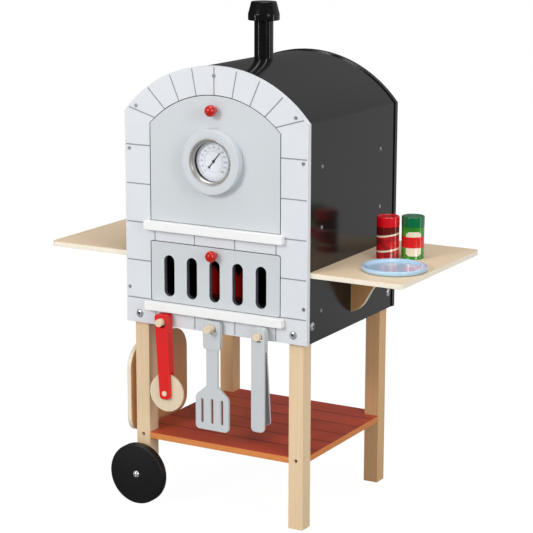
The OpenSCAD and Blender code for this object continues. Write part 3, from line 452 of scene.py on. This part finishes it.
FINISHES = {
    "brick_paint": painted("Brick white paint", paint(222, 225, 230), paint(236, 238, 240), roughness=0.4),
    "black_gloss": painted(
        "Black gloss paint", paint(18, 18, 19), paint(40, 40, 42), roughness=0.16, amount=0.15, wear_and_highlight=0.2,
        rough_spread=0.03, speck=0.015,
    ),
    "plain_board": wooden(
        "Bare board", paint(206, 172, 128), paint(168, 130, 88), turn=ALONG_X, contrast=1.0
    ),
    "flame_paint": painted(
        "Dark red paint", paint(138, 0, 0), paint(150, 4, 2), roughness=0.85, amount=0.08
    ),
    "door_paint": painted("Grey door paint", paint(207, 212, 216), paint(226, 230, 233), roughness=0.38),
    "plated_steel": metal("Zinc plate", paint(158, 160, 164), 0.3, metallic=0.5),
    "chrome_bolt": metal("Chrome", paint(226, 228, 232), 0.16, metallic=0.62),
    "bright_bezel": bezel_finish(),
    "dial_white": dial_finish(),
    "pointer_black": painted(
        "Pointer black", paint(34, 34, 40), paint(60, 60, 66), roughness=0.4, amount=0.1
    ),
    "red_gloss": painted(
        "Red gloss paint", paint(194, 28, 14), paint(208, 68, 48), roughness=0.22, amount=0.03, coat=0.45
    ),
    "magnet": metal("Magnet", paint(120, 120, 124), 0.35),
    "ledge_paint": painted("Ledge white paint", paint(242, 243, 242), paint(248, 248, 247), roughness=0.38),
    "leg_wood": wooden("Leg wood", paint(238, 211, 172), paint(214, 180, 136)),
    "shelf_wood": shelf_finish(),
    "peg_wood": wooden("Peg wood", paint(232, 215, 186), paint(214, 190, 154), contrast=0.5),
    "red_board": red_board_finish(),
    "wheel_black": painted(
        "Wheel black", paint(24, 24, 25), paint(46, 46, 48), roughness=0.42, amount=0.08, wear_and_highlight=0.3
    ),
    "tool_grey": painted("Grey tool paint", paint(202, 207, 210), paint(222, 226, 228), roughness=0.4),
    "red_tin": red_tin_finish(),
    "green_tin": green_tin_finish(),
    "blue_plate": painted(
        "Sky blue gloss paint", paint(178, 214, 240), paint(206, 228, 246),
        roughness=0.16, amount=0.03, coat=0.6,
    ),
}
flame_shader = FINISHES["flame_paint"].principled
flame_shader.inputs["Specular IOR Level"].default_value = 0.12

# Finishes of single pieces, or of some of a piece's faces
JOINT_PAINT = painted(
    "Joint grey paint", paint(146, 151, 163), paint(160, 164, 174), roughness=0.55, amount=0.05
)
# Dark grey as painted shade on the walls of slots, of the gaps round the doors and of bolt sockets
SLOT_SHADE_PAINT = painted("Slot grey painted shade", paint(88, 91, 98), paint(120, 122, 128), roughness=0.5, amount=0.05)
ROOF_PAINT = painted(
    "Gloss black roof paint", paint(24, 24, 25), paint(46, 46, 48), roughness=0.13, amount=0.12, wear_and_highlight=0.2,
    rough_spread=0.02, speck=0.01,
)
CUTTER_PAINT = painted("Cutter red paint", paint(226, 22, 22), paint(236, 78, 70), coat=0.2)
# The tongs' rear arm: grey darkened as painted shade on its face towards the front arm
TONGS_ARM_SHADE_PAINT = painted("Tongs inner face painted shade", paint(138, 142, 147), paint(170, 174, 178), roughness=0.45)
# Screws deep in their sunk holes: dark brown as painted shade
SUNK_SCREW_SHADE = painted("Screw in a sunk hole, painted shade", paint(40, 24, 13), paint(60, 40, 26), roughness=0.6, amount=0.1)
PRINT = painted("Dial print", paint(80, 88, 108), paint(80, 88, 108), roughness=0.45, amount=0.03)
# The rear legs: the leg wood, darker and warmer as painted shade
SHADED_REAR_LEG_WOOD = wooden("Rear leg wood in painted shade", paint(224, 184, 134), paint(202, 152, 102))
# Pale cut edges; the brackets' and the peel's broad faces in darker, warmer wood as painted shade
EDGE_WOOD, BRACKET_FACE_SHADE_WOOD, PEEL_FACE_SHADE_WOOD = (
    wooden(name, pale, dark, contrast=0.5, roughness=0.45)
    for name, pale, dark in (
        ("Pale cut edge", paint(240, 230, 210), paint(222, 206, 178)),
        ("Bracket face in painted shade", paint(206, 158, 104), paint(180, 128, 78)),
        ("Peel face in painted shade", paint(228, 172, 120), paint(208, 148, 98)),
    )
)


# ---------------------------------------------------------------- modelling helpers


def added(operator, name, **settings):
    """A new object from an adding operator, with nothing else selected."""
    bpy.ops.object.select_all(action="DESELECT")
    operator(**settings)
    piece = bpy.context.object
    piece.name = name
    return piece


def only(piece):
    """Makes a piece the one selected and active object."""
    bpy.ops.object.select_all(action="DESELECT")
    piece.select_set(True)
    bpy.context.view_layer.objects.active = piece


def edit(piece):
    """Opens a piece in edit mode with all of it selected."""
    only(piece)
    bpy.ops.object.mode_set(mode="EDIT")
    bpy.ops.mesh.select_mode(type="VERT")
    bpy.ops.mesh.select_all(action="SELECT")


def done():
    bpy.ops.object.mode_set(mode="OBJECT")


def smooth(piece, angle=40):
    only(piece)
    bpy.ops.object.shade_smooth_by_angle(angle=math.radians(angle))


def measured(node):
    """The low corner, the high corner and the centre of a node's box."""
    low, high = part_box(node)
    return low, high, (low + high) / 2


def upright(node):
    """The radius, the height and the foot of a round piece that stands up."""
    low, high, centre = measured(node)
    return (high.x - low.x) / 2 / MM, (high.z - low.z) / MM, (centre.x, centre.y, low.z)


def facing(node):
    """The radius, the depth and the seat of a round piece that faces the front."""
    low, high, centre = measured(node)
    return (high.x - low.x) / 2 / MM, (high.y - low.y) / MM, (centre.x, high.y, centre.z)


def finished(piece, node, finish=None, replace=True):
    """Dresses a piece, lets it ride with its node's body and stand for the node."""
    if not piece.data.materials:
        piece.data.materials.append((finish or FINISHES[SLOT_OF[node]]).material)
    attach(piece, BODY_OF[node])
    if replace:
        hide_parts(node)


def dress(piece, finish, picked):
    """Gives the faces that picked(face) chooses a finish of their own."""
    piece.data.materials.append(finish.material)
    index = len(piece.data.materials) - 1
    for face in piece.data.polygons:
        if picked(face):
            face.material_index = index


def mark_edges(piece):
    """Turns the second material into an edge attribute that the finishes read."""
    mesh = piece.data
    edge = mesh.attributes.new("edge", "FLOAT", "FACE")
    for face in mesh.polygons:
        edge.data[face.index].value = float(face.material_index)
        face.material_index = 0
    mesh.materials.pop(index=1)


def eased(node, width, finish=None, segments=2):
    """A copy of a node's solid with its edges eased by width."""
    piece = bpy.data.objects.new(f"{node}_eased", NODES[node].data.copy())
    bpy.context.collection.objects.link(piece)
    edit(piece)
    bpy.ops.mesh.remove_doubles(threshold=0.00001)
    bpy.ops.mesh.dissolve_limited(angle_limit=math.radians(0.4))
    done()
    bpy.ops.mesh.customdata_custom_splitnormals_clear()
    # The bevel's own faces take the second of two like materials, by which mark_edges finds them
    material = (finish or FINISHES[SLOT_OF[node]]).material
    piece.data.materials.clear()
    piece.data.materials.append(material)
    piece.data.materials.append(material)
    bevel = piece.modifiers.new("Eased edges", "BEVEL")
    bevel.width = width * MM
    bevel.segments = segments
    bevel.limit_method = "ANGLE"
    bevel.angle_limit = math.radians(40)
    bevel.material = 1
    bpy.ops.object.modifier_apply(modifier=bevel.name)
    mark_edges(piece)
    smooth(piece)
    weighted = piece.modifiers.new("Flat faces stay flat", "WEIGHTED_NORMAL")
    weighted.keep_sharp = True
    bpy.ops.object.modifier_apply(modifier=weighted.name)
    finished(piece, node)
    return piece


def turned(node, profile, origin, axis, steps=96, angle=40):
    """A lathe piece: a profile of (radius, height) points, drawn by extrusion and spun round an axis."""
    up = Vector(axis).normalized()
    side = up.orthogonal().normalized()
    base = Vector(origin)
    points = [base + side * radius * MM + up * height * MM for radius, height in profile]
    piece = added(bpy.ops.mesh.primitive_plane_add, f"{node}_turned", size=MM, location=(0, 0, 0))
    edit(piece)
    bpy.ops.mesh.merge(type="CENTER")
    bpy.ops.transform.translate(value=points[0])
    for start, end in zip(points, points[1:]):
        bpy.ops.mesh.extrude_region_move(TRANSFORM_OT_translate={"value": end - start})
    bpy.ops.mesh.select_all(action="SELECT")
    bpy.ops.mesh.spin(steps=steps, angle=math.tau, center=base, axis=up)
    bpy.ops.mesh.select_all(action="SELECT")
    bpy.ops.mesh.remove_doubles(threshold=0.000005)
    bpy.ops.mesh.normals_make_consistent(inside=False)
    done()
    smooth(piece, angle)
    finished(piece, node)


def arc(centre, radius, start, end, steps=8):
    """Profile points along an arc, angles in degrees."""
    turn = [math.radians(start + (end - start) * i / steps) for i in range(steps + 1)]
    return [(centre[0] + radius * math.cos(t), centre[1] + radius * math.sin(t)) for t in turn]


# ---------------------------------------------------------------- pieces with eased edges

EASED_MM = {
    "back_panel": 0.6, "oven_shelf": 0.6, "oven_floor": 0.6, "firebox_floor": 0.6,
    "flame_board": 0.6, "upper_ledge": 1.4, "lower_ledge": 1.4,
    "front_left_leg": 1.1, "front_right_leg": 1.1,
    "lower_shelf": 0.6, "left_side_shelf": 0.7, "right_side_shelf": 0.7, "hanging_pegs": 1.0,
    "cutter_wheel": 1.0, "cutter_pin": 0.4, "spatula": 1.0,
    "tongs_front_arm": 0.9, "tongs_block": 0.6, "wheel_spacers": 0.6,
    "crown_rail": 0.8, "haunch_rails": 0.8, "upper_door_stop": 0.8, "lower_door_stop": 0.8,
}


def plain_eased_pieces():
    for node, width in EASED_MM.items():
        eased(node, width)
    # The rear legs take the leg wood with painted shade
    for node in ("rear_left_leg", "rear_right_leg"):
        eased(node, 1.1, finish=SHADED_REAR_LEG_WOOD)
    eased("roof_sheet", 0.3, finish=ROOF_PAINT)
    eased("cutter_handle", 1.0, finish=CUTTER_PAINT)


def two_tone_pieces():
    """Brackets and peel with pale cut edges and broad faces darkened as painted shade, and the tongs' rear
    arm with painted shade on its face towards the other arm.
    """
    for node in ("left_bracket", "right_bracket"):
        dress(eased(node, 0.7, finish=EDGE_WOOD), BRACKET_FACE_SHADE_WOOD, lambda face: abs(face.normal.y) > 0.95)
    peel = eased("pizza_peel", 1.6, finish=EDGE_WOOD, segments=3)
    dress(peel, PEEL_FACE_SHADE_WOOD, lambda face: abs(face.normal.x) > 0.95)
    # The rear arm's face towards the front arm takes painted shade
    dress(eased("tongs_rear_arm", 0.9), TONGS_ARM_SHADE_PAINT, lambda face: face.normal.y < -0.9)


def doors():
    """The cut edges of both doors and of the slots are dark grey: painted shade of the slots and of the gaps
    round the doors.
    """
    for node in ("upper_door", "lower_door"):
        dress(eased(node, 0.7), SLOT_SHADE_PAINT, lambda face: abs(face.normal.y) < 0.3)


def brick_front():
    """The front panel: grey paint at the bottom of its joints, and painted shade on the walls round its
    openings.
    """
    low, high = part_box("front_panel")
    joint_floor = (low.y + 0.3 * MM, low.y + 1.2 * MM)
    behind_joints = low.y + 1.5 * MM
    over_low_edge = low.z + 20 * MM
    gap = 4 * MM
    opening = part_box("upper_door")[1]

    def in_joint(face):
        return face.normal.y < -0.7 and joint_floor[0] < face.center.y < joint_floor[1]

    def in_opening(face):
        if abs(face.normal.y) >= 0.3 or face.center.y <= behind_joints:
            return False
        return abs(face.center.x) < opening.x + gap and over_low_edge < face.center.z < opening.z + gap

    panel = eased("front_panel", 0.25)
    dress(panel, JOINT_PAINT, in_joint)
    dress(panel, SLOT_SHADE_PAINT, in_opening)


def bolt_sockets():
    """The leg bolts, with a hexagon socket in each domed head."""
    piece = eased("leg_bolts", 0.3)
    low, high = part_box("leg_bolts")
    radius = 3.4 * MM
    depth = 1.8 * MM
    tips = []
    for axis, reach in ((0, low.x), (0, high.x), (1, low.y), (1, high.y)):
        near = [point.co.copy() for point in piece.data.vertices if abs(point.co[axis] - reach) < 0.2 * MM]
        for half in (-1, 1):
            own = [point for point in near if point[1 - axis] * half > 0]
            tips.append((axis, sum(own, Vector()) / len(own)))
    for axis, tip in tips:
        tool = added(
            bpy.ops.mesh.primitive_cylinder_add, "hexagon",
            vertices=6, radius=radius, depth=2 * depth, location=(0, 0, 0),
        )
        tool.data.transform(Matrix.Translation(tip) @ Matrix.Rotation(math.radians(90), 4, "YX"[axis]))
        socket = piece.modifiers.new("Socket", "BOOLEAN")
        socket.operation = "DIFFERENCE"
        socket.object = tool
        only(piece)
        bpy.ops.object.modifier_apply(modifier=socket.name)
        bpy.data.objects.remove(tool)

    def in_socket(face):
        for axis, tip in tips:
            off = face.center - tip
            deep = abs(off[axis])
            off[axis] = 0
            if deep < 3 * MM and off.length < radius:
                return True
        return False

    # The socket's faces take dark grey painted shade
    dress(piece, SLOT_SHADE_PAINT, in_socket)
    smooth(piece)


# ---------------------------------------------------------------- turned pieces


def knob(node):
    """A ball on a waisted neck, with a small flat at its front."""
    ball_r, deep, seat = facing(node)
    out = deep - ball_r
    foot_r = 6.4
    neck_r = 5.6
    join_r = 5.8
    join = math.degrees(math.asin(join_r / ball_r)) - 90
    flat = 78
    profile = [(0, 0), (foot_r, 0), (foot_r, 0.6), (neck_r, 1.4)]
    profile += arc((0, out), ball_r, join, flat, 22)
    profile += [(0, out + ball_r * math.sin(math.radians(flat)))]
    turned(node, profile, seat, OUT_FRONT, steps=64)


def wheel(node):
    """A disc with round edges."""
    low, high, centre = measured(node)
    out = -1 if centre.y < 0 else 1
    radius = (high.z - low.z) / 2 / MM
    wide = (high.y - low.y) / MM
    bore = 4.1
    edge = 2.4
    profile = [(bore, 0)]
    profile += arc((radius - edge, edge), edge, -90, 0, 5)
    profile += arc((radius - edge, wide - edge), edge, 0, 90, 5)
    profile += [(bore, wide), (bore, 0)]
    turned(node, profile, (centre.x, high.y if out < 0 else low.y, centre.z), (0, out, 0))


def chimney():
    """A pipe, and a hipped cap with rolled edges that is hollow where the pipe goes in."""
    radius, tall, foot = upright("chimney_cap")
    bore = 17.8
    bore_depth = 12
    hip = 11.2
    crown = 21.4
    profile = [(bore, bore_depth), (bore, 0.6), (bore + 0.8, 0), (radius - 1.2, 0)]
    profile += arc((radius - 1.2, 1.2), 1.2, -90, 0, 4)
    profile += arc((radius - 2.0, hip), 2.0, 0, 32, 4)
    profile += arc((crown, tall - 2.6), 2.6, 32, 90, 6)
    profile += [(0, tall), (0, bore_depth), (bore, bore_depth)]
    turned("chimney_cap", profile, foot, UP)
    eased("chimney_pipe", 0.3)


def thermometer_ring():
    """The painted ring round the bezel, with rolled edges."""
    ring_r, deep, seat = facing("thermometer_ring")
    bezel_r = facing("thermometer_bezel")[0]
    profile = [(bezel_r, 0), (ring_r - 0.4, 0), (ring_r, 0.4)]
    profile += arc((ring_r - 1.4, deep - 1.4), 1.4, 0, 90, 6)
    profile += arc((bezel_r + 0.8, deep - 0.8), 0.8, 90, 180, 4)
    profile += [(bezel_r, 0)]
    turned("thermometer_ring", profile, seat, OUT_FRONT, steps=128)


def thermometer_bezel():
    """The steel bezel in the ring's seat: a rolled lip, a slope inwards and a second roll by the dial."""
    seat = facing("thermometer_ring")[2]
    bezel_r, lip, _ = facing("thermometer_bezel")
    inner = 35.7
    profile = [(inner, 0), (bezel_r, 0), (bezel_r, lip - 1.0)]
    profile += arc((bezel_r - 0.9, lip - 0.9), 0.9, 0, 150, 8)
    profile += [(bezel_r - 2.4, lip - 3.4), (bezel_r - 3.6, lip - 4.6), (inner + 1.4, lip - 5.4)]
    profile += arc((inner + 0.9, lip - 6.3), 0.9, 80, 180, 6)
    profile += [(inner, 0)]
    turned("thermometer_bezel", profile, seat, OUT_FRONT, steps=128)


def tin(node):
    """Rounded foot, groove under the lid, and a lid with a rolled edge and sunk top."""
    radius, tall, foot = upright(node)
    body_r = radius - 0.3
    groove_r = radius - 0.9
    lid = tall - TIN_LID
    profile = [(0, 0), (radius - 1.0, 0), (body_r, 0.3), (radius, 1.0), (body_r, 1.6)]
    profile += [(body_r, lid - 1.4), (groove_r, lid - 0.9), (groove_r, lid - 0.2), (radius, lid + 0.4)]
    profile += arc((radius - 1.8, tall - 1.8), 1.8, 0, 90, 6)
    profile += [(radius - 3.6, tall - 0.2), (radius - 4.4, tall - 0.8), (0, tall - 0.8)]
    turned(node, profile, foot, UP, angle=30)


def plate():
    """Round rim and a soft hollow."""
    radius, tall, foot = upright("plate")
    hollow = radius - 12.5
    profile = [(0, 0), (radius - 4.5, 0), (radius - 2.6, 0.7), (radius - 0.9, 2.4), (radius, 4.6)]
    profile += arc((radius - 2.6, tall - 2.6), 2.6, 10, 90, 6)
    profile += [(radius - 4.6, tall - 0.3), (radius - 7.5, tall - 1.6), (hollow + 2.6, 5.6), (hollow, 4.5)]
    profile += [(hollow - 2.4, 4.05), (hollow - 6, 4.0), (0, 4.0)]
    turned("plate", profile, foot, UP, steps=128, angle=50)


# ---------------------------------------------------------------- the dial's print


class DialPrint:
    """Ticks and plain numbers, a little proud of the dial, all joined into one piece."""

    sweep = 270
    ticks = 60
    numbers = 12
    number_step = 25
    number_r = 24.8
    number_size = 4.6

    def __init__(self):
        low, high, self.centre = measured("thermometer_dial")
        self.centre.y = low.y - 0.04 * MM
        self.marks = []

    def angle(self, share):
        return math.radians((share - 0.5) * self.sweep)

    def at(self, angle, radius):
        """The way from the origin to a place on the dial's face."""
        out = Vector((math.sin(angle), 0, math.cos(angle)))
        return Matrix.Translation(self.centre + out * radius * MM)

    def tick(self, angle, start, end, width):
        """A thin raised bar from radius start to end."""
        bar = added(bpy.ops.mesh.primitive_cube_add, "tick", size=1, location=(0, 0, 0))
        size = Matrix.Diagonal((width * MM, 0.16 * MM, (end - start) * MM, 1))
        bar.data.transform(self.at(angle, (start + end) / 2) @ Matrix.Rotation(angle, 4, "Y") @ size)
        self.marks.append(bar)

    def number(self, angle, value):
        """An upright number, a mesh before it is put in its place."""
        label = added(bpy.ops.object.text_add, "number")
        label.data.body = str(value)
        label.data.size = self.number_size * MM
        label.data.extrude = 0.08 * MM
        label.data.align_x = "CENTER"
        label.data.align_y = "CENTER"
        bpy.ops.object.convert(target="MESH")
        label = bpy.context.object
        label.data.transform(self.at(angle, self.number_r) @ Matrix.Rotation(math.radians(90), 4, "X"))
        self.marks.append(label)

    def printed(self):
        for i in range(self.ticks + 1):
            angle = self.angle(i / self.ticks)
            if i % 5 == 0:
                self.tick(angle, 28.6, 31.6, 0.6)
            else:
                self.tick(angle, 29.8, 31.6, 0.35)
            if i % 2 == 0:
                self.tick(angle, 17.6, 18.9, 0.5)
        for i in range(self.numbers + 1):
            self.number(self.angle(i / self.numbers), i * self.number_step)
        only(self.marks[0])
        for mark in self.marks:
            mark.select_set(True)
        bpy.ops.object.join()
        piece = bpy.context.object
        piece.name = "dial_print"
        piece.data.materials.clear()
        edit(piece)
        bpy.ops.mesh.remove_doubles(threshold=0.000002)
        bpy.ops.mesh.normals_make_consistent(inside=False)
        done()
        finished(piece, "thermometer_dial", finish=PRINT, replace=False)


# ---------------------------------------------------------------- the whole object

plain_eased_pieces()
two_tone_pieces()
doors()
brick_front()
bolt_sockets()
for name in ("upper_knob", "lower_knob"):
    knob(name)
for name in ("front_wheel", "rear_wheel"):
    wheel(name)
chimney()
thermometer_ring()
thermometer_bezel()
DialPrint().printed()
for name in ("red_tin", "green_tin"):
    tin(name)
plate()
# The nodes that no piece replaces show their own solids
for name, node in NODES.items():
    if not node.hide_render:
        node.data.materials.clear()
        # The shelf screws in their sunk holes show painted shade
        finish = SUNK_SCREW_SHADE if name == "shelf_screws" else FINISHES[SLOT_OF[name]]
        node.data.materials.append(finish.material)


# ---------------------------------------------------------------- camera, floor and light


def camera():
    """Stands to the right of the oven, a little above it, with a long lens as in the photo."""
    data = bpy.data.cameras.new("Camera")
    data.lens = 125.29
    data.sensor_width = 36
    data.clip_end = 60
    view = bpy.data.objects.new("Camera", data)
    view.matrix_world = Matrix((
        (0.8704, -0.1089, 0.4801, 1.6863),
        (0.4923, 0.1869, -0.8501, -2.9735),
        (0.0029, 0.9763, 0.2163, 1.1971),
        (0, 0, 0, 1),
    ))
    bpy.context.collection.objects.link(view)
    bpy.context.scene.camera = view


def soft_lamp(name, place, target, width, height, power):
    data = bpy.data.lights.new(name, "AREA")
    data.shape = "RECTANGLE"
    data.size = width
    data.size_y = height
    data.energy = power
    lamp = bpy.data.objects.new(name, data)
    lamp.location = place
    lamp.rotation_euler = (Vector(target) - Vector(place)).to_track_quat("-Z", "Y").to_euler()
    bpy.context.collection.objects.link(lamp)


def paper_sweep(tree, first, second, least, rise):
    """White paper in reflections, brighter where both (value, start, end) ramps rise."""
    value, start, end = first
    across = tree.spread(value, start, end, soft=True)
    value, start, end = second
    along = tree.spread(value, start, end, to_high=rise, soft=True)
    return tree.calc("MULTIPLY_ADD", across, along, least)


def grey(share):
    return (share, share, share, 1)


def floor():
    """The camera sees the floor almost white, with the object's soft shadow."""
    ground = added(bpy.ops.mesh.primitive_plane_add, "floor", size=24, location=(0, 0, -0.5 * MM))
    material = bpy.data.materials.new("White floor")
    material.use_nodes = True
    tree = Tree(material.node_tree)
    tree.tree.nodes.clear()
    ray = tree.add("ShaderNodeLightPath").outputs
    x, y = tree.parts(tree.add("ShaderNodeTexCoord").outputs["Object"])[:2]
    # In reflections the paper lies behind the object on the right, and the floor is dark elsewhere
    behind = tree.calc("MULTIPLY_ADD", x, -0.6, y)
    paper = paper_sweep(tree, (x, -0.6, 0.7), (behind, -0.4, 0.9), least=0.04, rise=0.46)
    lit = tree.shader("ShaderNodeBsdfDiffuse", Color=grey(0.5))
    mirrored = tree.shader("ShaderNodeEmission", Strength=paper)
    shadowed = tree.shader("ShaderNodeBsdfDiffuse", Color=grey(0.95))
    glow = tree.shader("ShaderNodeEmission", Strength=1.03)
    unseen = tree.either(ray["Is Glossy Ray"], lit, mirrored)
    shown = tree.either(ray["Is Camera Ray"], unseen, tree.either(0.94, shadowed, glow))
    tree.filled(tree.add("ShaderNodeOutputMaterial"), Surface=shown)
    ground.data.materials.append(material)


def surround():
    """White to the camera, a soft fill on the object, and a paper sweep behind it in reflections."""
    world = bpy.data.worlds.new("Studio")
    bpy.context.scene.world = world
    world.use_nodes = True
    tree = Tree(world.node_tree)
    tree.tree.nodes.clear()
    ray = tree.add("ShaderNodeLightPath").outputs
    x, y = tree.parts(tree.add("ShaderNodeTexCoord").outputs["Generated"])[:2]
    paper = paper_sweep(tree, (x, -0.85, 0.2), (y, 0.0, 0.6), least=0.02, rise=0.42)
    fill = tree.shader("ShaderNodeBackground", Color=grey(0.8), Strength=0.62)
    mirrored = tree.shader("ShaderNodeBackground", Color=grey(0.8), Strength=paper)
    white = tree.shader("ShaderNodeBackground", Color=grey(1), Strength=1)
    unseen = tree.either(ray["Is Glossy Ray"], fill, mirrored)
    shown = tree.either(ray["Is Camera Ray"], unseen, white)
    tree.filled(tree.add("ShaderNodeOutputWorld"), Surface=shown)


camera()
floor()
surround()
soft_lamp("Key", (-1.25, -3.7, 2.3), (0, 0, 0.55), width=1.3, height=1.3, power=71)
soft_lamp("Right fill", (3.4, -1.6, 1.8), (0, 0, 0.5), width=1.0, height=2.0, power=44)
soft_lamp("Left strip", (-1.66, -2.18, 0.45), (0, 0, 0.5), width=0.13, height=1.2, power=4)
soft_lamp("Right strip", (2.5, 0.7, 0.45), (0, 0, 0.5), width=0.13, height=1.2, power=4)
soft_lamp("Top", (0.3, -0.2, 3.4), (0, 0, 0.6), width=2.0, height=2.0, power=34)
bpy.context.scene.view_settings.view_transform = "Standard"
